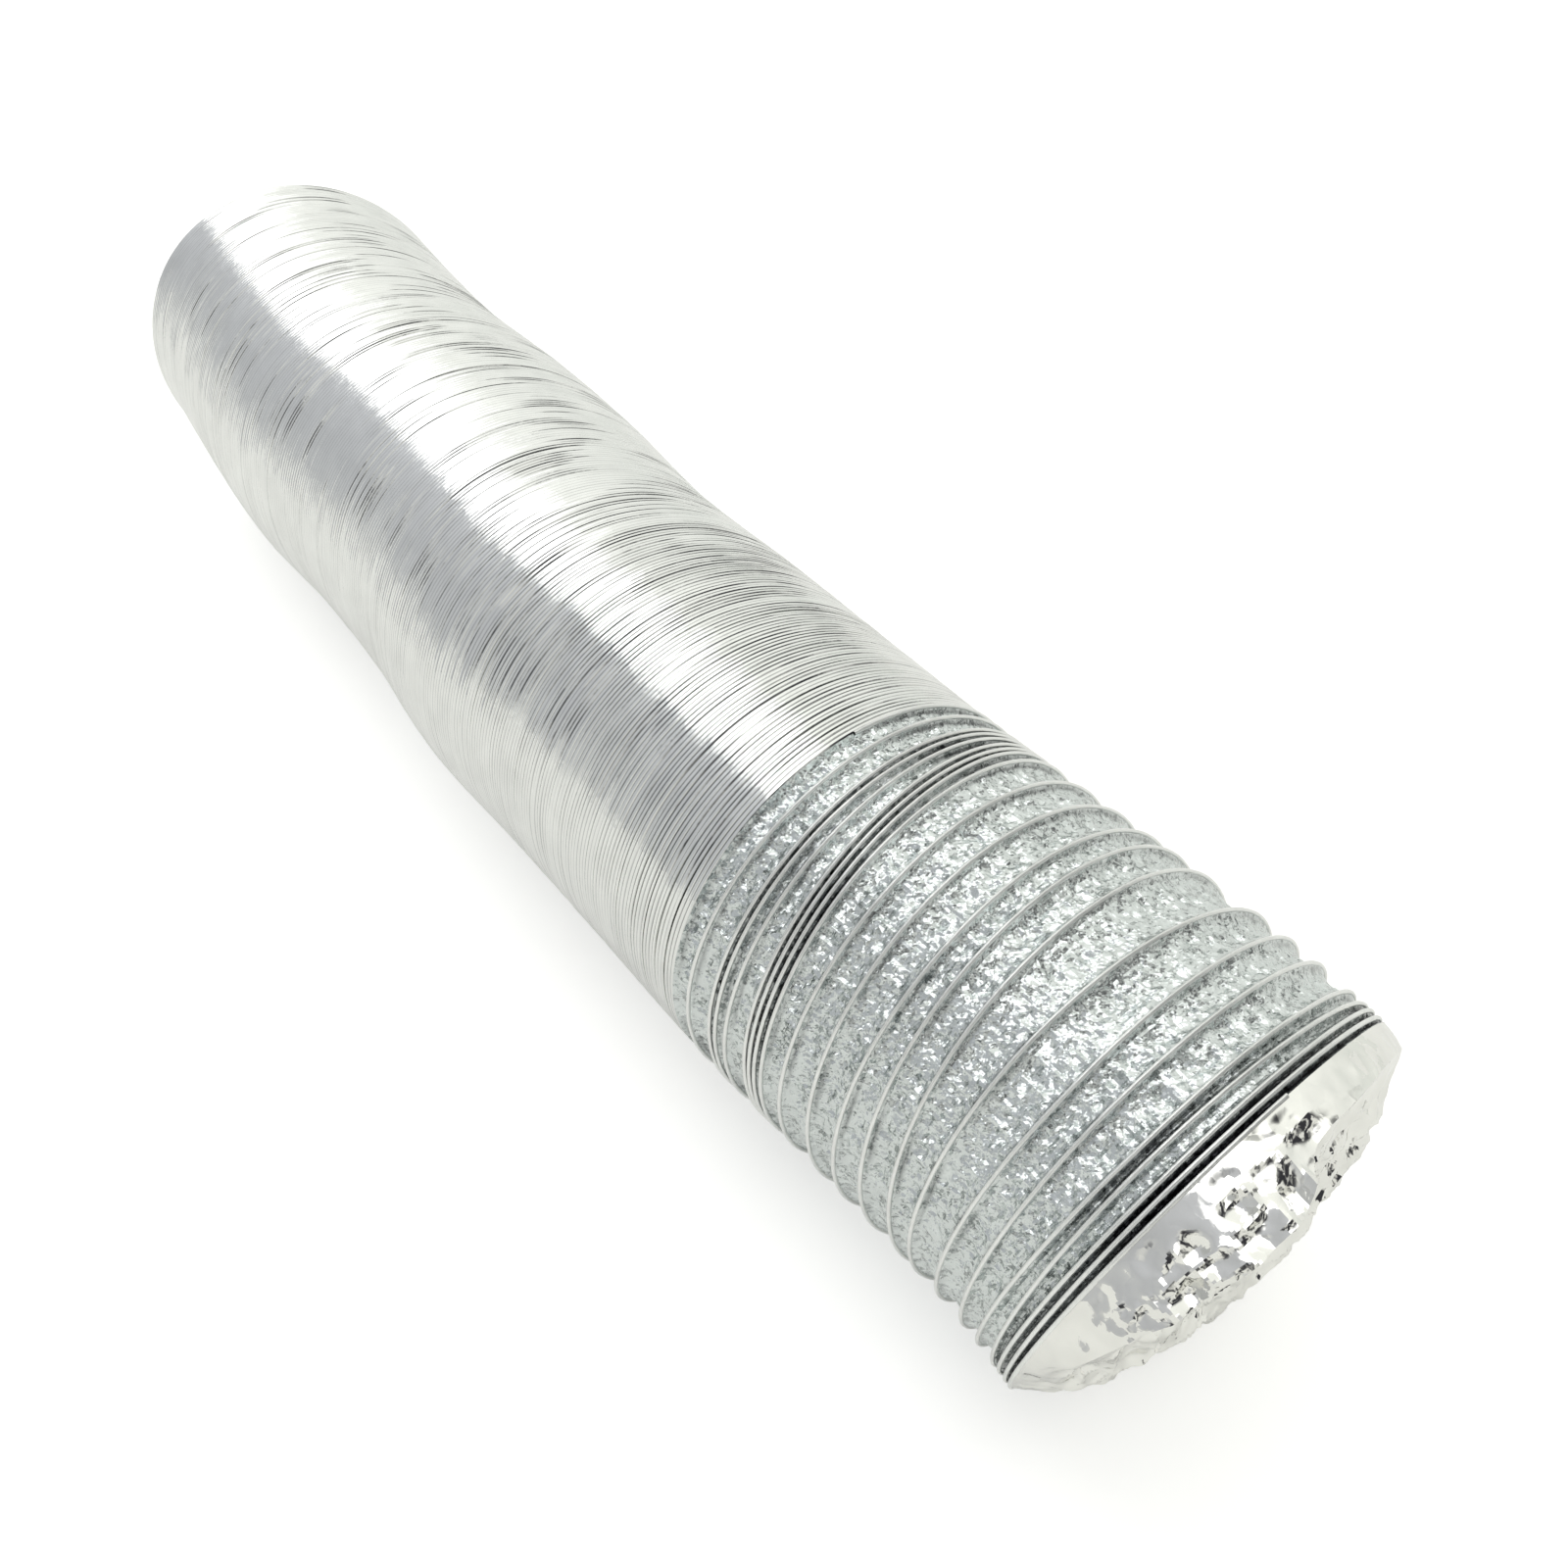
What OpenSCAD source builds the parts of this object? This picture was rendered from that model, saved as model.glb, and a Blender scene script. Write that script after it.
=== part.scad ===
// Flexible foil duct for ventilation, most of its turns pushed together and
// the last ones pulled out. It lies on the floor, +Z up, with its long way
// along X: the open far end towards -X, the foil-covered mouth towards +X.
// The origin is on the floor, under the middle of the duct.

/* [Foil skin] */
// Inside diameter, which slips over a spigot of the nominal 100 mm size
bore_d = 101; // [76:1:205]
// Thickness of the foil skin with its folds pressed flat
foil_t = 0.5; // [0.3:0.1:1.2]
// How far the loose foil stands out past the last wire turn
tail_len = 13; // [8:1:20]

/* [Spring wire] */
// Diameter of the spring wire
wire_d = 1; // [0.8:0.1:1.1]
// Gap between the foil skin and the wire turns that run around it
wire_seat = 0.05; // [0.02:0.01:0.1]

/* [Packed turns] */
// Number of turns pushed together
packed_turns = 274; // [200:1:300]
// Spacing of the packed turns
packed_pitch = 1.14; // [1.12:0.01:1.5]
// Depth of the grooves between the packed turns
groove_depth = 0.4; // [0.2:0.05:0.6]
// Width of the rounded top of a packed turn
turn_top_w = 0.45; // [0.3:0.05:0.7]

/* [Pulled-out turns] */
// Spacing of each turn from the one before it, from the packed turns to the mouth
open_pitches = [1.3, 2, 5.2, 2.2, 3.1, 2.6, 1.7, 4.7, 1.7, 4, 9, 8.2,
    8.8, 6.8, 7.8, 10.4, 12.5, 7.3, 8.8, 2.1, 2.6, 2.1, 1.7]; // [1.3:0.1:14]
// Thickness of the straight run between the pulled-out turns, as a share of the wire's
step_share = 0.8; // [0.6:0.05:0.9]

/* [Hidden] */
$fn = 96;

// Radii from the bore outwards
bore_r = bore_d / 2;
skin_r = bore_r + foil_t;
coil_in_r = skin_r + wire_seat;
wire_path_r = coil_in_r + wire_d / 2;
coil_out_r = coil_in_r + wire_d;

function sum_to(list, n) = n <= 0 ? 0 : list[n - 1] + sum_to(list, n - 1);

// Lengths from the open far end onwards
packed_len = packed_turns * packed_pitch;
last_packed = packed_len - packed_pitch / 2;
open_turns = len(open_pitches);
tail_start = last_packed + sum_to(open_pitches, open_turns) + wire_d;
duct_len = tail_start + tail_len;
step_d = wire_d * step_share;

// Loose foil folded in over the mouth: shares of the skin's radius and of the tail's length
tail_folds = [[1, 0], [0.99, 0.4], [0.93, 0.72], [0.8, 0.82], [0.66, 0.62],
    [0.5, 0.8], [0.27, 1], [0, 0.92]];

// Lays its children, drawn upright about Z from the far end, along X on the floor
module lying() {
    translate([-duct_len / 2, 0, coil_out_r])
        rotate([0, 90, 0])
            children();
}

// Aluminium foil laminate, one skin from the open far end to the folded mouth
module foil_skin() {
    last = len(tail_folds) - 1;
    outer = [for (fold = tail_folds) [fold[0] * skin_r, tail_start + fold[1] * tail_len]];
    inner = [for (k = [last:-1:0])
        [tail_folds[k][0] * bore_r, tail_start + tail_folds[k][1] * tail_len - foil_t]];
    color("silver")
        lying()
            rotate_extrude()
                polygon(concat([[bore_r, 0], [skin_r, 0]], outer, inner));
}

// The packed turns touch through the foil between them, so they are one turned coil
module packed_coil() {
    flank = (packed_pitch - turn_top_w) / 2;
    groove_r = coil_out_r - groove_depth;
    turn_outline = [[groove_r, 0], [coil_out_r, flank], [coil_out_r, flank + turn_top_w]];
    grooved = [for (k = [0:packed_turns - 1], corner = turn_outline)
        [corner[0], k * packed_pitch + corner[1]]];
    rotate_extrude()
        polygon(concat([[coil_in_r, 0]], grooved, [[groove_r, packed_len], [coil_in_r, packed_len]]));
}

// The pulled-out turns as flat rings; a straight run of wire underneath leads from each to the next
module pulled_turns() {
    rotate_extrude()
        for (k = [1:open_turns])
            translate([wire_path_r, last_packed + sum_to(open_pitches, k)])
                circle(d = wire_d);
    translate([wire_path_r, 0, last_packed])
        cylinder(h = sum_to(open_pitches, open_turns), d = step_d);
}

// Spring wire around the skin: the packed turns, then the ones pulled apart
module spring_wire() {
    color("gainsboro")
        lying() {
            packed_coil();
            pulled_turns();
        }
}

foil_skin();
spring_wire();
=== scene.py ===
# %% [markdown]
# # A flexible foil duct
#
# The duct is one skin of aluminium foil laminate around one spring wire. Most of its turns
# are pushed together and lie side by side like a stack of thin rings. The last turns are
# pulled out, so the foil sags and crinkles between them, and at the mouth the loose foil is
# crumpled inwards. The solid model is straight and plain. Here each piece of the skin is
# made again as a surface that weaves, leans and crinkles as the real one does.
#
# The lesson goes from the frame to the camera, then through the four surfaces (packed turns,
# pulled-out foil, wire ridges, crumpled mouth), the lining, the foil finishes and the light.

# %% Load the frame
import math

import bpy
import numpy as np
from mathutils import Matrix, Vector


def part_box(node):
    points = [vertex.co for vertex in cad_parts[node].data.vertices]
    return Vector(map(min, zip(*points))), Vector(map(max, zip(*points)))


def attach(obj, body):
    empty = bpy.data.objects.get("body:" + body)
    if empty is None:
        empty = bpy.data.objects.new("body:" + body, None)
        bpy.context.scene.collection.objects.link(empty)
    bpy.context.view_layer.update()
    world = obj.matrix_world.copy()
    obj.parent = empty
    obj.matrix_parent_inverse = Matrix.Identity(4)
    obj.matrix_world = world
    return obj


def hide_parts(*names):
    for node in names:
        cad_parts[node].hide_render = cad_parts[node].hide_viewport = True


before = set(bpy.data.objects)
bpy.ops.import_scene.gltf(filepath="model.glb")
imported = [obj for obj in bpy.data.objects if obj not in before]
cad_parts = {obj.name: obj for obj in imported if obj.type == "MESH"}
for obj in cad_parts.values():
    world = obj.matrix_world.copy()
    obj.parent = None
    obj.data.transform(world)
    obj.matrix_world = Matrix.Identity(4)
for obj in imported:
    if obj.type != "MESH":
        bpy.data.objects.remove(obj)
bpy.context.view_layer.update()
skin_low, skin_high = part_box("foil_skin")
wire_low, wire_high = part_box("spring_wire")

# %% [markdown]
# ## The main sizes
#
# Everything is in metres. The far end of the duct lies at the low end of the skin's box, and
# the axis runs along X at the height of half the duct's outside diameter. Distances along
# the duct are counted from the far end, in millimetres, because the turns are close together.

# %% Main sizes
MM = 0.001
far_end_x = float(skin_low[0])
axis_z = (float(wire_low[2]) + float(wire_high[2])) / 2
crest_r = axis_z / MM
bore_r = crest_r - 1.55
packed_turns = 274
print("crest radius", round(crest_r, 2), "mm, far end at x =", round(far_end_x, 4), "m")

# %% [markdown]
# ## The camera
#
# A photograph of a round duct gives the camera away: the outline of the far end and of the
# near end, and the curve of every turn, only fit one place. The camera stands a little past
# the mouth, to one side, and looks down on the duct at 47 degrees with a short lens, which
# is why the near end looks so much larger than the far one.

# %% Camera
camera_data = bpy.data.cameras.new("camera")
camera_data.lens = 33.2
camera_data.sensor_width = 36.0
camera_data.clip_start = 0.01
camera = bpy.data.objects.new("camera", camera_data)
bpy.context.scene.collection.objects.link(camera)
bpy.context.scene.camera = camera
look = Vector((-0.5428, 0.4059, -0.7353)).normalized()
right = Vector((0.5989, 0.8008, 0.0)).normalized()
up = right.cross(look)
turn = Matrix((right, up, -look)).transposed().to_4x4()
camera.matrix_world = Matrix.Translation((0.25541, -0.14254, 0.32232)) @ turn
print("camera at", [round(c, 3) for c in camera.matrix_world.translation])

# %% [markdown]
# ## Where each turn lies
#
# The wire is one helix, but a soft one: when it is pushed together and laid down, its turns
# weave from side to side and lean. A turn is described by three numbers, the distance from
# the far end at which it crosses three lines drawn along the duct: 90 and 30 degrees to one
# side of the top, and 20 degrees to the other. Three crossings fix a plane, so they give the
# turn's place, its lean and its swing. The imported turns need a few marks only, and each
# pulled-out turn has its own.

# %% Marks of the turns
MARK_ANGLES = np.radians([-90.0, -30.0, 20.0])
TURN_MARKS = np.array([
    [-1, -8.2, -7.3, 0.4], [0, -7.0, -6.1, 1.5], [100, 112.5, 110.5, 117.0],
    [200, 230.4, 227.0, 232.5], [240, 275.6, 272.6, 275.5], [274, 315.2, 312.9, 312.2],
    [275, 320.6, 318.6, 317.0], [276, 328.1, 325.2, 322.6], [277, 330.0, 326.8, 324.3],
    [278, 333.2, 329.8, 326.4], [279, 339.8, 334.6, 329.2], [280, 341.2, 336.2, 331.0],
    [281, 342.8, 338.0, 332.6], [282, 344.9, 339.9, 335.4], [283, 350.8, 347.1, 343.7],
    [284, 359.6, 354.9, 352.5], [285, 367.4, 363.9, 361.5], [286, 375.3, 369.9, 367.2],
    [287, 383.6, 377.6, 375.4], [288, 389.6, 388.2, 388.6], [289, 397.9, 399.5, 398.5],
    [290, 405.4, 406.9, 406.2], [291, 411.0, 415.2, 414.7], [292, 415.2, 417.7, 417.6],
    [293, 417.6, 421.5, 420.4], [294, 419.6, 423.4, 422.4], [295, 421.2, 425.4, 424.0],
    [296, 422.8, 427.0, 425.6]])
last_turn = 295
SWAY_AT = np.array([0, 40, 80, 120, 160, 200, 240, 280, 320, 360, 400, 442.0])
SWAY = np.array([2.3, -1.5, -3.7, -1.8, -2.4, -5.3, -3.2, -2.0, -0.7, 2.7, 5.3, 2.3])
print(len(TURN_MARKS), "marked turns")

# %% [markdown]
# ## Smooth lines and lattice noise
#
# Two small tools serve every surface. The first draws a smooth curve through a few knots.
# The second is lattice noise: random numbers on the points of a lattice, blended smoothly
# in between, always the same because the numbers come from a fixed seed.

# %% Smooth line through knots
def smooth_line(x, knots, values):
    """Cubic curve through the knots: each knot's slope is that of the line between its two
    neighbours, and between knots the curve is the Hermite blend of the ends' values and
    slopes."""
    slope = np.gradient(values, knots)
    i = np.clip(np.searchsorted(knots, x) - 1, 0, len(knots) - 2)
    h = knots[i + 1] - knots[i]
    t = np.clip((x - knots[i]) / h, 0.0, 1.0)
    return ((2 * t**3 - 3 * t**2 + 1) * values[i] + (t**3 - 2 * t**2 + t) * h * slope[i]
            + (3 * t**2 - 2 * t**3) * values[i + 1] + (t**3 - t**2) * h * slope[i + 1])


# %% Lattice noise
LATTICE = np.random.default_rng(7).random((32, 32, 32))


def lattice_noise(x, y, z):
    """Noise from 0 to 1: the eight lattice values around a point, blended by the smooth step
    3t2 - 2t3 of its place between them. The lattice repeats every 32 steps."""
    i, j, k = (np.floor(c).astype(int) for c in (x, y, z))
    u, v, w = (c - np.floor(c) for c in (x, y, z))
    u, v, w = (t * t * (3 - 2 * t) for t in (u, v, w))

    def corner(a, b, c):
        return LATTICE[(i + a) % 32, (j + b) % 32, (k + c) % 32]

    low = (corner(0, 0, 0) * (1 - u) + corner(1, 0, 0) * u) * (1 - v)
    low = low + (corner(0, 1, 0) * (1 - u) + corner(1, 1, 0) * u) * v
    high = (corner(0, 0, 1) * (1 - u) + corner(1, 0, 1) * u) * (1 - v)
    high = high + (corner(0, 1, 1) * (1 - u) + corner(1, 1, 1) * u) * v
    return low * (1 - w) + high * w


def lumps(x, y, z, size, seed=0.0):
    """Soft lumps from -1 to 1 of the given size, in millimetres."""
    return 2 * lattice_noise(x / size + seed, y / size + seed, z / size + seed) - 1


def creases(x, y, z, size, seed=0.0):
    """Folds of the given size: flat sheets that meet in sharp ridges and furrows, from -1 to
    1, because the distance of the noise from its middle value has a kink there."""
    return 1 - 4 * np.abs(lattice_noise(x / size + seed, y / size + seed, z / size + seed) - 0.5)


print("noise at the origin", round(float(lattice_noise(np.zeros(1), np.zeros(1), np.zeros(1))[0]), 3))

# %% [markdown]
# ## From turn number and angle to a point
#
# The whole skin is one helical strip. A point on it is named by its turn number, its angle
# around the axis from the top, and its radius. Whole turn numbers lie on the wire. Where the
# angle goes once round, the turn number has gone up by one, which is what makes the helix.

# %% Distance along the duct
def along_duct(turn_no, angle):
    """Millimetres from the far end. The three marks are read at the turn number plus the part
    of a turn that the angle adds, and a + b cos(angle) + c sin(angle) is laid through them."""
    u = turn_no + angle / (2 * math.pi)
    crossings = np.stack([np.interp(u - mark / (2 * math.pi), TURN_MARKS[:, 0], TURN_MARKS[:, k + 1])
                          for k, mark in enumerate(MARK_ANGLES)], -1)
    basis = np.stack([np.ones(3), np.cos(MARK_ANGLES), np.sin(MARK_ANGLES)], -1)
    a, b, c = np.moveaxis(crossings @ np.linalg.inv(basis).T, -1, 0)
    return a + b * np.cos(angle) + c * np.sin(angle)


def place(s, angle, radius):
    """Points in metres: s along the axis from the far end, swayed sideways, and the radius
    turned by the angle from the top. Nothing goes below the floor."""
    y = smooth_line(s, SWAY_AT, SWAY) + radius * np.sin(angle)
    z = crest_r + radius * np.cos(angle)
    return np.stack([far_end_x + s * MM, y * MM, np.maximum(z, 0.15) * MM], -1)


print("mouth at", np.round(along_duct(295.0, np.radians([-90.0, 0.0, 90.0])), 1), "mm")

# %% [markdown]
# ## From a grid of points to a mesh
#
# Each surface is a grid of points, rows by columns. Four neighbours make a face. The grid is
# handed to Blender as whole arrays. Foil has sharp folds, so edges steeper than an angle are
# marked sharp, and the rest is shaded smooth.

# %% Grid to mesh
def grid_piece(name, points, gap=None, sharp_deg=None, flip=False, flat=False):
    """Object of a grid of points. The face between rows i, i+1 and columns j, j+1 runs so
    that row direction cross column direction points outwards, or the other way if flipped.
    gap says, point by point, how much painted shade darkens the foil in the gaps, from 0 to 1."""
    rows, cols = points.shape[:2]
    index = np.arange(rows * cols).reshape(rows, cols)
    a, b, c, d = index[:-1, :-1], index[1:, :-1], index[1:, 1:], index[:-1, 1:]
    quads = np.stack([a, d, c, b] if flip else [a, b, c, d], -1).reshape(-1, 4)
    mesh = bpy.data.meshes.new(name)
    mesh.vertices.add(rows * cols)
    mesh.vertices.foreach_set("co", points.reshape(-1).astype(np.float32))
    mesh.loops.add(quads.size)
    mesh.loops.foreach_set("vertex_index", quads.reshape(-1).astype(np.int32))
    mesh.polygons.add(len(quads))
    mesh.polygons.foreach_set("loop_start", np.arange(0, quads.size, 4, dtype=np.int32))
    mesh.update(calc_edges=True)
    mesh.polygons.foreach_set("use_smooth", np.full(len(quads), not flat))
    if sharp_deg:
        mesh.set_sharp_from_angle(angle=math.radians(sharp_deg))
    # The gap attribute carries painted shade, which the foil materials mix into the base colour.
    depth = mesh.attributes.new("gap", "FLOAT", "POINT")
    depth.data.foreach_set("value", np.zeros(rows * cols) if gap is None else gap.reshape(-1))
    piece = bpy.data.objects.new(name, mesh)
    bpy.context.scene.collection.objects.link(piece)
    print(name, 2 * len(quads), "triangles")
    return piece


# %% [markdown]
# ## The imported turns
#
# Two hundred and seventy-four turns lie side by side, each a little over a millimetre wide.
# A bump map could fake them, but every turn is a small mirror that reflects a line of the
# room, so their real shape is what gives the long bright and grey bands. Each turn gets four
# rows: the groove, a shoulder, the top and a shoulder. No two turns are alike: each stands a
# little higher or lower, and some gaps are open and deeper. The grooves also get painted shade:
# dark lines in the base colour, stronger towards the pulled-out end and in the open gaps.

# %% Rows of the imported turns
TURN_SHARE = np.array([0.0, 0.2, 0.5, 0.8])
per_turn = np.random.default_rng(11)
turn_rise = per_turn.normal(0.0, 0.05, 400)
turn_shift = per_turn.normal(0.0, 0.04, 400)
open_gap = np.zeros(400)
open_gap[[128, 158, 181, 195, 199, 203, 210, 216, 221, 226, 231, 235, 240, 244, 249, 255, 260,
          264, 268, 271]] = [0.25, 0.3, 0.3, 0.35, 0.9, 0.5, 0.4, 0.9, 0.5, 0.7, 0.5, 0.8, 0.6,
                             0.9, 0.6, 0.8, 0.7, 0.9, 0.8, 0.9]


def packed_surface(first, last, cols):
    """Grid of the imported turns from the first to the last. The radius is the crest, less the
    groove's depth at whole turn numbers, plus the turn's own rise and soft dents."""
    turn_no = (np.arange(first, last)[:, None] + TURN_SHARE).reshape(-1)
    turn_no = np.append(turn_no, last)
    share = np.round(turn_no - np.floor(turn_no), 3)
    whole = np.floor(turn_no).astype(int)
    angle = np.linspace(-math.pi, math.pi, cols)
    tau, ang = np.meshgrid(turn_no, angle, indexing="ij")
    s = along_duct(tau, ang)
    y, z = crest_r * np.sin(ang), crest_r * np.cos(ang)
    depth = 0.16 + 0.2 * np.clip((tau - 170) / 60, 0, 1)
    patchy = np.clip(0.4 + lumps(s / 3, y, z, 22, 3.0) * 1.6, 0, 1)
    opened = open_gap[whole][:, None] * patchy
    groove = (share == 0)[:, None] * (depth + opened)
    shoulder = np.isin(share, (0.2, 0.8))[:, None] * 0.03
    rise = turn_rise[whole][:, None] * (0.6 + 0.8 * lumps(tau * 3.7, y, z, 30, 5.0))
    dents = 0.22 * lumps(s, y, z, 40) + 0.02 * lumps(s * 1.5, y, z, 9, 9.0)
    tilt = (share - 0.5)[:, None] * 0.17 * lumps(tau * 5.3, y, z, 18, 2.0)
    radius = crest_r - 0.3 - groove - shoulder + np.where(share[:, None] == 0, 0, rise) + dents + tilt
    s = s + turn_shift[whole][:, None] + 0.12 * lumps(tau * 2.1, y, z, 25, 4.0)
    # Painted shade: the grooves get dark lines in the base colour through the gap attribute, stronger
    # towards the pulled-out end, varying from turn to turn, and darkest where a gap is open.
    painted_shade_line = 0.16 + 0.85 * np.clip((tau - 140) / 90, 0, 1) * (0.5 + 0.5 * lumps(tau * 7.7, y, z, 14, 1.0))
    gap = (share == 0)[:, None] * np.clip(painted_shade_line + 1.2 * opened, 0, 1)
    points = place(s, ang, radius)
    if first == 0:
        edge = np.stack([place(s[0], angle, np.full(cols, r)) for r in (50.6, 50.9, 51.2)])
        points, gap = np.concatenate([edge, points]), np.concatenate([0 * gap[:3], gap])
    return points, gap


# %% Packed turns in three pieces
packed_pieces = []
for number, (first, last) in enumerate([(0, 92), (92, 183), (183, 274)]):
    points, gap = packed_surface(first, last, 241)
    piece = grid_piece("packed_turns_%d" % number, points, gap, sharp_deg=22)
    packed_pieces.append(piece)

# %% [markdown]
# ## The pulled-out foil
#
# Between two turns of wire that stand apart, the foil hangs in a shallow sag, and its old
# folds open into a net of creases. The rows are close together beside the wire, where the
# foil drops steeply, and even in between. The creases come from folded noise at three sizes.
# They are real dents in the mesh, because their facets catch the light one by one.

# %% Rows of the pulled-out foil
def pulled_rows(step_mm):
    """Turn numbers of the rows: 0.35, 0.7 and 1.1 mm from each wire, then even steps."""
    rows = [float(packed_turns)]
    for turn_no in range(packed_turns, last_turn):
        gap = float(along_duct(turn_no + 1.0, np.array(-0.5)) - along_duct(float(turn_no), np.array(-0.5)))
        near = [d for d in (0.35, 0.7, 1.1) if d < gap * 0.45]
        middle = max(int((gap - 2.2) / step_mm), 1)
        between = np.linspace(near[-1], gap - near[-1], middle + 2)[1:-1]
        marks = near + list(between) + [gap - d for d in reversed(near)] + [gap]
        rows += [turn_no + mark / gap for mark in marks]
    return np.array(rows)


def foil_radius(tau, ang, s, drop, crinkle):
    """Radius between two wires: the crest less a steep drop beside the wire and a sag as deep
    as the gap is wide, with creases that fade out at the wire. It also gives the painted shade
    for the gap attribute: a thin dark line beside each wire and darkness across narrow gaps."""
    whole = np.minimum(np.floor(tau + 1e-6), last_turn - 1)
    share = np.clip(tau - whole, 0, 1)
    gap = np.maximum(along_duct(whole + 1, ang) - along_duct(whole, ang), 0.8)
    near = np.minimum(share, 1 - share) * gap
    arch = np.sin(math.pi * share)
    sag = 2.1 * (1 - np.exp(-gap / 4.0)) * arch ** 0.7
    y, z = crest_r * np.sin(ang), crest_r * np.cos(ang)
    folds = (0.34 * creases(s, y, z, 4.2) + 0.36 * creases(s, y, z, 2.3, 4.0)
             + 0.26 * creases(s, y, z, 1.3, 8.0) + 0.2 * lumps(s, y, z, 9.0, 6.0))
    radius = (crest_r - 0.35 - drop * (1 - np.exp(-(near / 0.6) ** 2)) - sag
              + crinkle * folds * arch ** 0.5 * np.clip(gap / 5, 0.15, 1))
    # Painted shade: a thin dark line 0.8 mm from each wire, patchy along the duct, and darkness across
    # gaps narrower than 3.6 mm.
    painted_shade_line = np.exp(-((near - 0.8) / 0.35) ** 2) * np.clip(0.3 + 1.2 * lumps(s / 4, y, z, 16, 2.0), 0, 1)
    narrow_gap_shade = np.clip((3.6 - gap) / 2.2, 0, 1) * arch
    return radius, np.clip(0.7 * painted_shade_line + 0.95 * narrow_gap_shade, 0, 1)


# %% Pulled-out foil in two pieces
foil_rows = pulled_rows(0.62)
half_way = len(foil_rows) // 2
pulled_pieces = []
for number, rows in enumerate([foil_rows[:half_way + 1], foil_rows[half_way:]]):
    tau, ang = np.meshgrid(rows, np.linspace(-math.pi, math.pi, 481), indexing="ij")
    s = along_duct(tau, ang)
    radius, gap = foil_radius(tau, ang, s, 0.7, 1.0)
    pulled_pieces.append(grid_piece("pulled_foil_%d" % number, place(s, ang, radius), gap, flat=True))

# %% [markdown]
# ## The wire ridges
#
# The spring wire shows as a thin raised line under the foil. It is a tube swept along the
# helix: at each step along the wire a small circle stands in the plane of the axis.

# %% Wire ridges
def wire_tube(first, last, steps_per_turn, sides, tube_r):
    """Tube along the helix. The centre runs at the crest less the tube's radius; a point is
    moved by tube_r cos(q) outwards and tube_r sin(q) along the duct."""
    winding = np.linspace(first, last, int((last - first) * steps_per_turn) + 1)
    whole = np.floor(winding + 0.5)
    ang = (winding - whole) * 2 * math.pi
    q = np.linspace(0, 2 * math.pi, sides + 1)
    q2, ang2 = np.meshgrid(q, ang)
    s2 = along_duct(whole[:, None] + 0 * q2, ang2)
    return place(s2 + tube_r * np.sin(q2), ang2, crest_r - tube_r + tube_r * np.cos(q2))


wire_ridges = grid_piece("wire_ridges", wire_tube(packed_turns + 0.0, last_turn + 0.0, 180, 8, 0.48),
                         flip=True)

# %% [markdown]
# ## The crumpled mouth
#
# Past the last turn the foil is loose. On one side it stands out as a smooth flap, and in
# the middle it is crumpled and pushed inwards over the mouth. One grid does it all: the rows
# run out from the last wire to the free edge and then turn inwards to the middle.

# %% Shape of the crumpled mouth
EDGE_AT = np.radians([-180, -140, -112, -90, -80, -70, -60, -50, -40, -30, -20, -10, -2, 3, 10,
                      30, 50, 70, 92, 108, 122, 140, 180.0])
EDGE_REACH = np.array([420, 417, 420, 423, 425.6, 430.4, 433.6, 436.2, 439.2, 440.6, 440.6, 439,
                       434.3, 433.2, 432.7, 429.8, 427, 423.6, 421.5, 418.6, 422.5, 423.5, 420.0])
EDGE_CRUMPLE = np.array([0.6, 0.4, 0.2, 0.08, 0.08, 0.12, 0.35, 0.8, 1, 1, 1, 1, 0.6, 0.15, 0.12, 0.1,
                         0.1, 0.1, 0.2, 0.3, 0.4, 0.5, 0.6])


def mouth_surface(rows, cols):
    """Grid from the last wire over the free edge to the middle. The first part of the rows
    goes along the duct, the rest inwards, and both get creases as strong as that side's
    crumple."""
    v = np.linspace(0, 1, rows)
    v2, ang = np.meshgrid(v, np.linspace(-math.pi, math.pi, cols), indexing="ij")
    start = along_duct(np.full_like(ang, float(last_turn)), ang)
    reach = smooth_line(ang, EDGE_AT, EDGE_REACH)
    crumple = smooth_line(ang, EDGE_AT, EDGE_CRUMPLE)
    out = np.clip(v2 / 0.3, 0, 1)
    inward = np.clip((v2 - 0.3) / 0.7, 0, 1)
    s = start + (reach - start) * out
    radius = crest_r - 0.4 - 1.2 * out ** 2 - crumple * 2.5 * np.sin(out * math.pi / 2)
    middle_s = 431.0
    s = s + (middle_s - reach) * (1 - (1 - inward) ** 3) * (inward > 0)
    radius = radius * (1 - inward ** 1.2)
    y, z = radius * np.sin(ang), radius * np.cos(ang)
    big = creases(s, y, z, 10.0, 1.0)
    mid = creases(s, y, z, 4.6, 2.0)
    fine = creases(s, y, z, 2.2, 3.0)
    strength = np.where(inward > 0, np.maximum(crumple, np.clip(inward * 2.5, 0, 1)), crumple)
    strength = strength * np.clip(out * 1.4, 0, 1)
    s = s + strength * (1.9 * big + 1.1 * mid + 0.35 * fine) * np.clip(0.4 + inward * 4, 0, 1)
    radius = radius + strength * (1.4 * mid + 0.3 * fine) * (1 - inward) + 0.25 * out * mid * (1 - inward)
    return place(np.minimum(s, 442.5), ang, np.clip(radius, 0, crest_r))


crumpled_mouth = grid_piece("crumpled_mouth", mouth_surface(101, 481), sharp_deg=16)

# %% [markdown]
# ## The lining
#
# Through the open far end one looks into the bore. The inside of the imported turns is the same
# stack of thin rings seen from within, and further on the foil bulges inwards between the
# wires. A coarser grid than the outside does for it, turned to face the axis.

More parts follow.
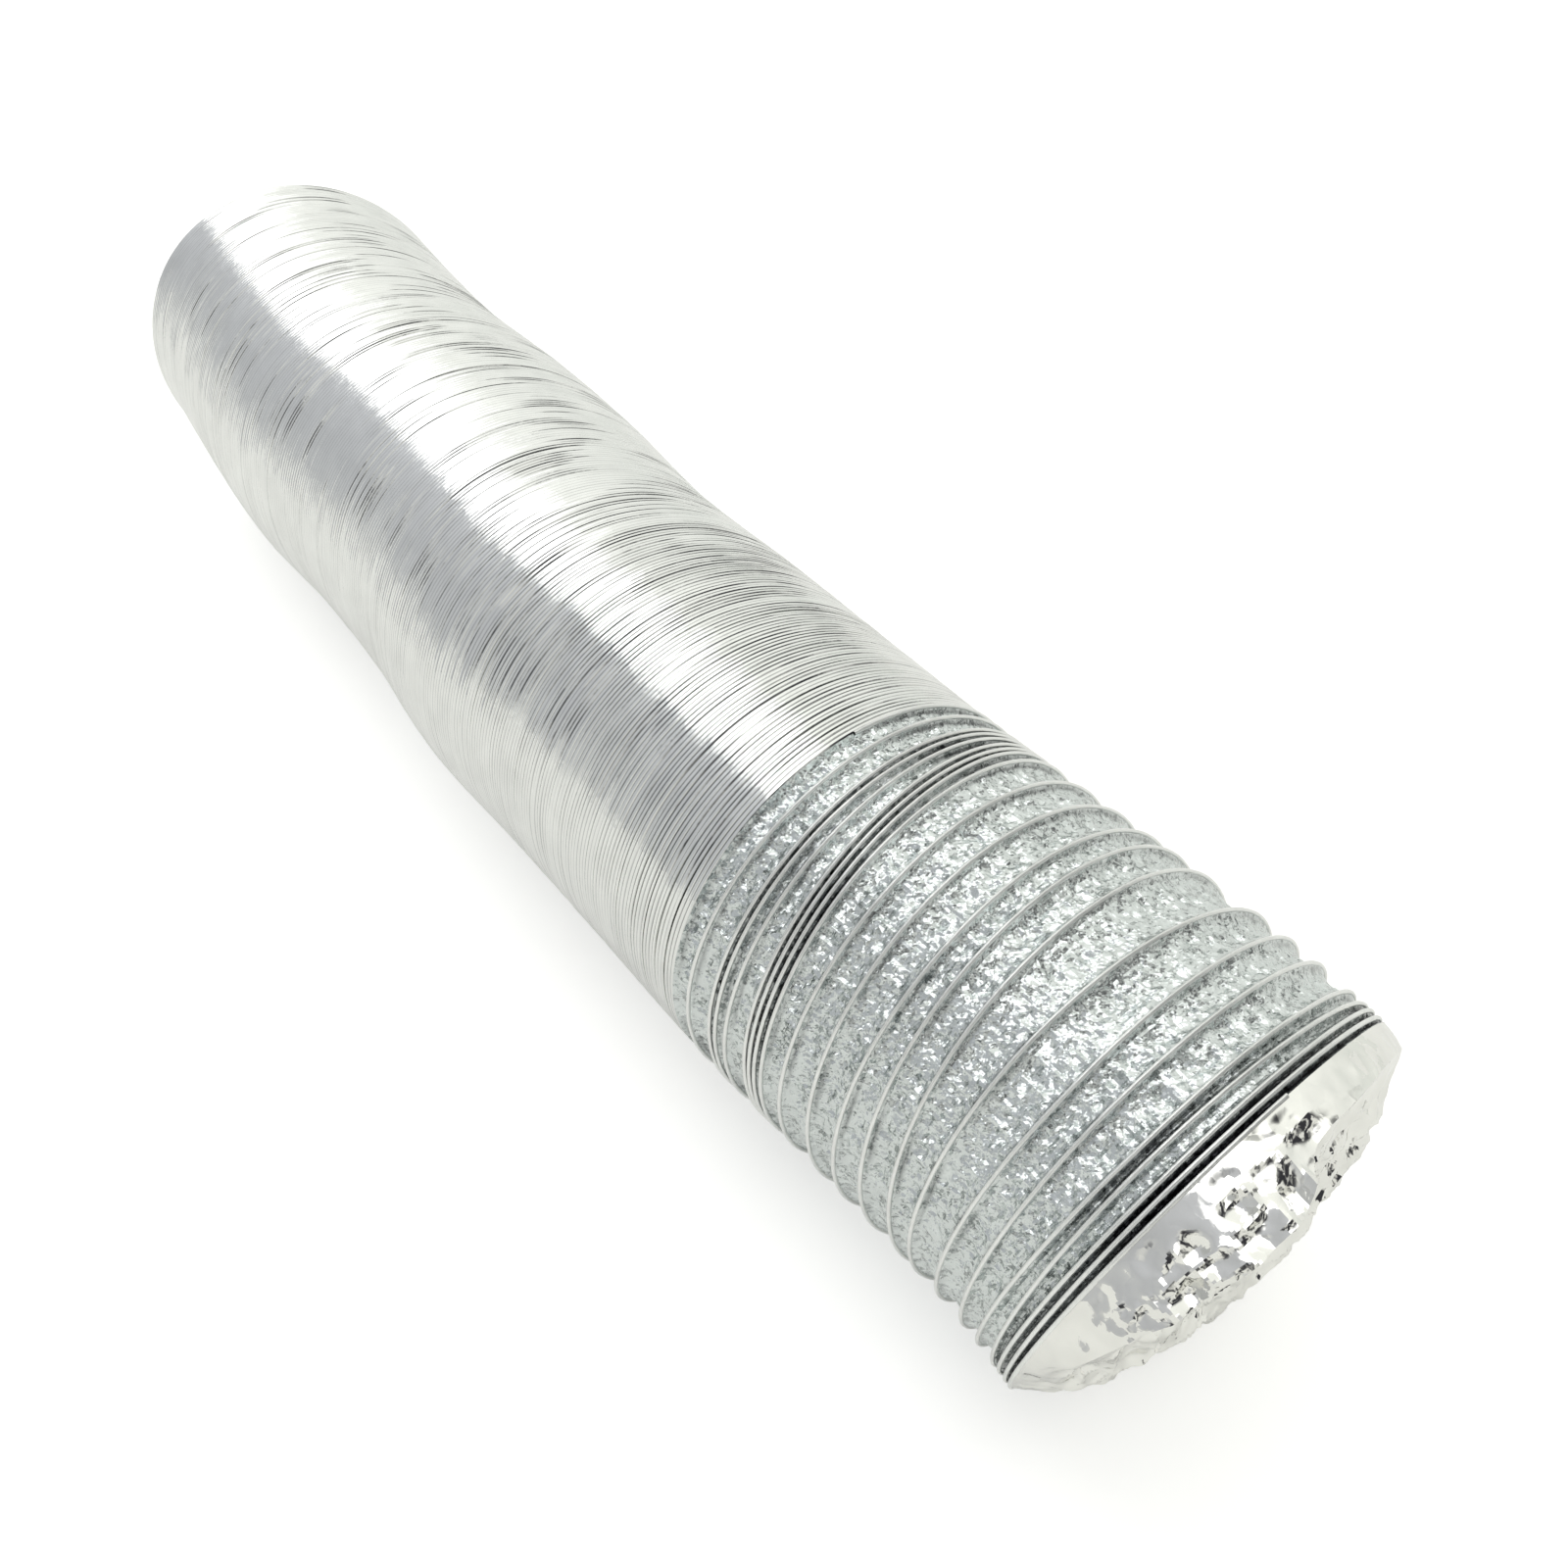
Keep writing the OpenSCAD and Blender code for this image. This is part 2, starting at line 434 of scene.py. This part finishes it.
# %% Lining of the bore
def lining_surface(cols):
    """Grid of the inside: ribs of half a turn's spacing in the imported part, then the sag of
    the pulled-out foil, half a millimetre inside the outer surface."""
    packed = np.arange(0, packed_turns, 0.5)
    tau, ang = np.meshgrid(np.concatenate([packed, pulled_rows(2.6)]),
                           np.linspace(-math.pi, math.pi, cols), indexing="ij")
    s = along_duct(tau, ang)
    y, z = bore_r * np.sin(ang), bore_r * np.cos(ang)
    rib = np.where(np.abs(tau - np.round(tau)) < 0.1, 0.0, -0.25)
    packed_r = bore_r + rib + 0.2 * lumps(s, y, z, 24, 3.0)
    pulled = foil_radius(tau, ang, s, 0.7, 0.0)[0] - 1.0
    return place(s, ang, np.where(tau < packed_turns - 0.01, packed_r, pulled))


lining = grid_piece("bore_lining", lining_surface(113), sharp_deg=25, flip=True)

# %% [markdown]
# ## Crinkle, as a node group
#
# Foil is never smooth: between the folds that the mesh shows, there are finer facets. A
# Voronoi pattern cuts the surface into cells, and each cell's random colour tips its normal
# a little, so that each becomes a tiny flat mirror. Several materials use it, so it is a
# node group with the size of the facets and their tilt as inputs.

# %% Node helpers
def add_node(tree, kind, **settings):
    node = tree.nodes.new(kind)
    for key, value in settings.items():
        setattr(node, key, value)
    return node


def wire_up(tree, *pairs):
    for out_socket, in_socket in pairs:
        tree.links.new(out_socket, in_socket)


# %% Facet group
facets = bpy.data.node_groups.new("foil facets", "ShaderNodeTree")
for label, default in (("Facet size", 0.002), ("Tilt", 0.3), ("Fine tilt", 0.1)):
    socket = facets.interface.new_socket(label, in_out="INPUT", socket_type="NodeSocketFloat")
    socket.default_value = default
facets.interface.new_socket("Normal", in_out="OUTPUT", socket_type="NodeSocketVector")
facets.interface.new_socket("Cell", in_out="OUTPUT", socket_type="NodeSocketFloat")
g_in = add_node(facets, "NodeGroupInput")
g_out = add_node(facets, "NodeGroupOutput")
coords = add_node(facets, "ShaderNodeTexCoord")
warp = add_node(facets, "ShaderNodeTexNoise")
warp.inputs["Scale"].default_value = 260.0
warp.inputs["Detail"].default_value = 1.0
warp_add = add_node(facets, "ShaderNodeVectorMath", operation="MULTIPLY_ADD")
warp_add.inputs[1].default_value = (0.0016, 0.0016, 0.0016)
shrink = add_node(facets, "ShaderNodeMath", operation="DIVIDE")
shrink.inputs[0].default_value = 1.0
finer = add_node(facets, "ShaderNodeMath", operation="MULTIPLY")
finer.inputs[1].default_value = 2.7
cells = add_node(facets, "ShaderNodeTexVoronoi")
fine_cells = add_node(facets, "ShaderNodeTexVoronoi")
centre = add_node(facets, "ShaderNodeVectorMath", operation="SUBTRACT")
centre.inputs[1].default_value = (0.5, 0.5, 0.5)
fine_centre = add_node(facets, "ShaderNodeVectorMath", operation="SUBTRACT")
fine_centre.inputs[1].default_value = (0.5, 0.5, 0.5)
tip = add_node(facets, "ShaderNodeVectorMath", operation="SCALE")
fine_tip = add_node(facets, "ShaderNodeVectorMath", operation="SCALE")
surface = add_node(facets, "ShaderNodeNewGeometry")
add_tip = add_node(facets, "ShaderNodeVectorMath", operation="ADD")
add_fine = add_node(facets, "ShaderNodeVectorMath", operation="ADD")
unit = add_node(facets, "ShaderNodeVectorMath", operation="NORMALIZE")
cell_value = add_node(facets, "ShaderNodeSeparateColor")
wire_up(facets, (coords.outputs["Object"], warp.inputs["Vector"]),
        (warp.outputs["Color"], warp_add.inputs[0]),
        (coords.outputs["Object"], warp_add.inputs[2]),
        (g_in.outputs["Facet size"], shrink.inputs[1]),
        (shrink.outputs[0], cells.inputs["Scale"]), (shrink.outputs[0], finer.inputs[0]),
        (finer.outputs[0], fine_cells.inputs["Scale"]),
        (warp_add.outputs[0], cells.inputs["Vector"]),
        (warp_add.outputs[0], fine_cells.inputs["Vector"]),
        (cells.outputs["Color"], centre.inputs[0]),
        (fine_cells.outputs["Color"], fine_centre.inputs[0]),
        (centre.outputs[0], tip.inputs[0]), (g_in.outputs["Tilt"], tip.inputs["Scale"]),
        (fine_centre.outputs[0], fine_tip.inputs[0]),
        (g_in.outputs["Fine tilt"], fine_tip.inputs["Scale"]),
        (surface.outputs["Normal"], add_tip.inputs[0]), (tip.outputs[0], add_tip.inputs[1]),
        (add_tip.outputs[0], add_fine.inputs[0]), (fine_tip.outputs[0], add_fine.inputs[1]),
        (add_fine.outputs[0], unit.inputs[0]), (unit.outputs[0], g_out.inputs["Normal"]),
        (cells.outputs["Color"], cell_value.inputs[0]),
        (cell_value.outputs[0], g_out.inputs["Cell"]))
print("group", facets.name, "with", len(facets.nodes), "nodes")

# %% [markdown]
# ## The foil finishes
#
# All the foil is the same bright laminate, but it looks different where it is handled
# differently: satin on the tight packed turns, crinkled between the pulled-out ones, nearly a
# mirror where it is freshly crumpled at the mouth. One function makes each finish from its
# facet size, tilt and roughness, so the four stay of one family.

# %% Foil finish
def foil_finish(name, colour, rough_low, rough_high, facet_size, tilt, fine_tilt):
    """Metal with the facet group's normal. Roughness and colour vary softly over the surface
    with a noise a few millimetres wide, and the gap attribute paints shade into the colour,
    mixing it towards near black."""
    material = bpy.data.materials.new(name)
    material.use_nodes = True
    tree = material.node_tree
    shader = tree.nodes["Principled BSDF"]
    shader.inputs["Metallic"].default_value = 1.0
    group = add_node(tree, "ShaderNodeGroup", node_tree=facets)
    group.inputs["Facet size"].default_value = facet_size
    group.inputs["Tilt"].default_value = tilt
    group.inputs["Fine tilt"].default_value = fine_tilt
    where = add_node(tree, "ShaderNodeTexCoord")
    mottle = add_node(tree, "ShaderNodeTexNoise")
    mottle.inputs["Scale"].default_value = 140.0
    mottle.inputs["Detail"].default_value = 3.0
    rough = add_node(tree, "ShaderNodeMapRange")
    rough.inputs["To Min"].default_value = rough_low
    rough.inputs["To Max"].default_value = rough_high
    tint = add_node(tree, "ShaderNodeValToRGB")
    tint.color_ramp.elements[0].position = 0.25
    tint.color_ramp.elements[0].color = (*[c * 0.90 for c in colour], 1)
    tint.color_ramp.elements[1].position = 0.75
    tint.color_ramp.elements[1].color = (*colour, 1)
    # Painted shade: by the gap attribute, the base colour is mixed towards near black in the grooves and
    # narrow gaps.
    gap = add_node(tree, "ShaderNodeAttribute", attribute_name="gap")
    painted_gap_shade = add_node(tree, "ShaderNodeMix", data_type="RGBA")
    painted_gap_shade.inputs["B"].default_value = (0.03, 0.03, 0.035, 1)
    wire_up(tree, (where.outputs["Object"], mottle.inputs["Vector"]),
            (mottle.outputs["Fac"], rough.inputs["Value"]),
            (rough.outputs["Result"], shader.inputs["Roughness"]),
            (mottle.outputs["Fac"], tint.inputs["Fac"]),
            (tint.outputs["Color"], painted_gap_shade.inputs["A"]),
            (gap.outputs["Fac"], painted_gap_shade.inputs["Factor"]),
            (painted_gap_shade.outputs["Result"], shader.inputs["Base Color"]),
            (group.outputs["Normal"], shader.inputs["Normal"]))
    return material


# %% The four finishes
satin_foil = foil_finish("packed satin foil", (0.91, 0.92, 0.90), 0.12, 0.20, 0.0016, 0.03, 0.02)
crinkled_foil = foil_finish("crinkled foil", (0.76, 0.80, 0.79), 0.18, 0.32, 0.0013, 0.50, 0.36)
bright_foil = foil_finish("crumpled bright foil", (0.92, 0.92, 0.88), 0.04, 0.10, 0.0040, 0.16, 0.05)
ridge_foil = foil_finish("foil over the wire", (0.96, 0.97, 0.95), 0.34, 0.46, 0.0012, 0.08, 0.04)
for piece in packed_pieces:
    piece.data.materials.append(satin_foil)
for piece in pulled_pieces:
    piece.data.materials.append(crinkled_foil)
crumpled_mouth.data.materials.append(bright_foil)
wire_ridges.data.materials.append(ridge_foil)
lining.data.materials.append(satin_foil)

# %% [markdown]
# ## What stands for what
#
# The solid model keeps the two real pieces, the skin and the wire. The surfaces stand for
# them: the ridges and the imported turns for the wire, the rest for the skin. All ride on the
# one body, because the duct has no joint.

# %% Frame bookkeeping
for piece in packed_pieces + [wire_ridges]:
    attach(piece, "root")
    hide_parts("spring_wire")
for piece in pulled_pieces + [crumpled_mouth, lining]:
    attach(piece, "root")
    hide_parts("foil_skin")
for piece in packed_pieces:
    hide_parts("foil_skin", "spring_wire")

# %% [markdown]
# ## The studio
#
# Foil shows its surroundings more than itself, so the light is a plain studio of long soft
# panels that run along the duct. Seen along the duct's axis, a bright one hangs overhead, a
# grey wall stands on the camera's side and a paler one on the other. Their reflections
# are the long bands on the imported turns. The floor is pale and keeps a soft shadow. A little
# glow that only the camera and reflections see brings it up to white, as the room beyond is,
# so that no lamp has to be turned up for it.

# %% World of soft panels
world = bpy.data.worlds.new("studio")
bpy.context.scene.world = world
world.use_nodes = True
room = world.node_tree
room.nodes.clear()
ray = add_node(room, "ShaderNodeTexCoord")
split = add_node(room, "ShaderNodeSeparateXYZ")
around = add_node(room, "ShaderNodeMath", operation="ARCTAN2")
to_share = add_node(room, "ShaderNodeMapRange")
to_share.inputs["From Min"].default_value = -math.pi
to_share.inputs["From Max"].default_value = math.pi
panels = add_node(room, "ShaderNodeValToRGB")
PANELS = [(-180, (0.76, 0.76, 0.72)), (-94, (0.70, 0.70, 0.67)), (-88, (0.56, 0.57, 0.58)),
          (-60, (0.50, 0.51, 0.53)), (-26, (0.60, 0.61, 0.64)), (-21, (2.0, 2.0, 2.0)),
          (4, (2.0, 2.0, 2.0)), (18, (1.06, 1.07, 1.02)), (52, (0.95, 0.96, 0.92)),
          (88, (0.80, 0.82, 0.78)), (180, (0.76, 0.76, 0.72))]
ramp = panels.color_ramp
for _ in range(len(PANELS) - 2):
    ramp.elements.new(0.5)
for element, (degrees, colour) in zip(ramp.elements, PANELS):
    element.position = (degrees + 180) / 360
    element.color = (*[c / 2 for c in colour], 1)
patches = add_node(room, "ShaderNodeTexNoise")
patches.inputs["Scale"].default_value = 3.2
patches.inputs["Detail"].default_value = 2.0
patch_ramp = add_node(room, "ShaderNodeValToRGB")
patch_ramp.color_ramp.elements[0].position = 0.44
patch_ramp.color_ramp.elements[0].color = (0.02, 0.02, 0.023, 1)
patch_ramp.color_ramp.elements[1].position = 0.56
patch_ramp.color_ramp.elements[1].color = (0.42, 0.42, 0.40, 1)
front = add_node(room, "ShaderNodeMapRange", interpolation_type="SMOOTHSTEP")
front.inputs["From Min"].default_value = 0.15
front.inputs["From Max"].default_value = 0.55
mix = add_node(room, "ShaderNodeMix", data_type="RGBA")
light = add_node(room, "ShaderNodeBackground")
light.inputs["Strength"].default_value = 2.0
plain = add_node(room, "ShaderNodeBackground")
plain.inputs["Color"].default_value = (1, 1, 1, 1)
path = add_node(room, "ShaderNodeLightPath")
choose = add_node(room, "ShaderNodeMixShader")
out = add_node(room, "ShaderNodeOutputWorld")
wire_up(room, (ray.outputs["Generated"], split.inputs[0]),
        (split.outputs["Y"], around.inputs[0]), (split.outputs["Z"], around.inputs[1]),
        (around.outputs[0], to_share.inputs["Value"]),
        (to_share.outputs["Result"], panels.inputs["Fac"]),
        (ray.outputs["Generated"], patches.inputs["Vector"]),
        (patches.outputs["Fac"], patch_ramp.inputs["Fac"]),
        (split.outputs["X"], front.inputs["Value"]),
        (front.outputs["Result"], mix.inputs["Factor"]),
        (panels.outputs["Color"], mix.inputs["A"]), (patch_ramp.outputs["Color"], mix.inputs["B"]),
        (mix.outputs["Result"], light.inputs["Color"]),
        (path.outputs["Is Camera Ray"], choose.inputs["Fac"]),
        (light.outputs[0], choose.inputs[1]), (plain.outputs[0], choose.inputs[2]),
        (choose.outputs[0], out.inputs["Surface"]))
print("world panels:", len(PANELS))

# %% Floor
floor_mesh = bpy.data.meshes.new("floor")
floor_mesh.from_pydata([(-4, -4, 0), (4, -4, 0), (4, 4, 0), (-4, 4, 0)], [], [(0, 1, 2, 3)])
floor = bpy.data.objects.new("floor", floor_mesh)
bpy.context.scene.collection.objects.link(floor)
floor_paint = bpy.data.materials.new("pale floor")
floor_paint.use_nodes = True
tree = floor_paint.node_tree
paint = tree.nodes["Principled BSDF"]
paint.inputs["Base Color"].default_value = (0.78, 0.78, 0.75, 1)
paint.inputs["Roughness"].default_value = 0.9
ray_kind = add_node(tree, "ShaderNodeLightPath")
for_camera = add_node(tree, "ShaderNodeMath", operation="MULTIPLY")
for_camera.inputs[1].default_value = 0.50
for_gloss = add_node(tree, "ShaderNodeMath", operation="MULTIPLY_ADD")
for_gloss.inputs[1].default_value = 0.14
glow = add_node(tree, "ShaderNodeEmission")
total = add_node(tree, "ShaderNodeAddShader")
wire_up(tree, (ray_kind.outputs["Is Camera Ray"], for_camera.inputs[0]),
        (ray_kind.outputs["Is Glossy Ray"], for_gloss.inputs[0]),
        (for_camera.outputs[0], for_gloss.inputs[2]), (for_gloss.outputs[0], glow.inputs["Strength"]),
        (paint.outputs[0], total.inputs[0]), (glow.outputs[0], total.inputs[1]),
        (total.outputs[0], tree.nodes["Material Output"].inputs["Surface"]))
floor.data.materials.append(floor_paint)

# %% Picture settings
bpy.context.scene.view_settings.view_transform = "Standard"
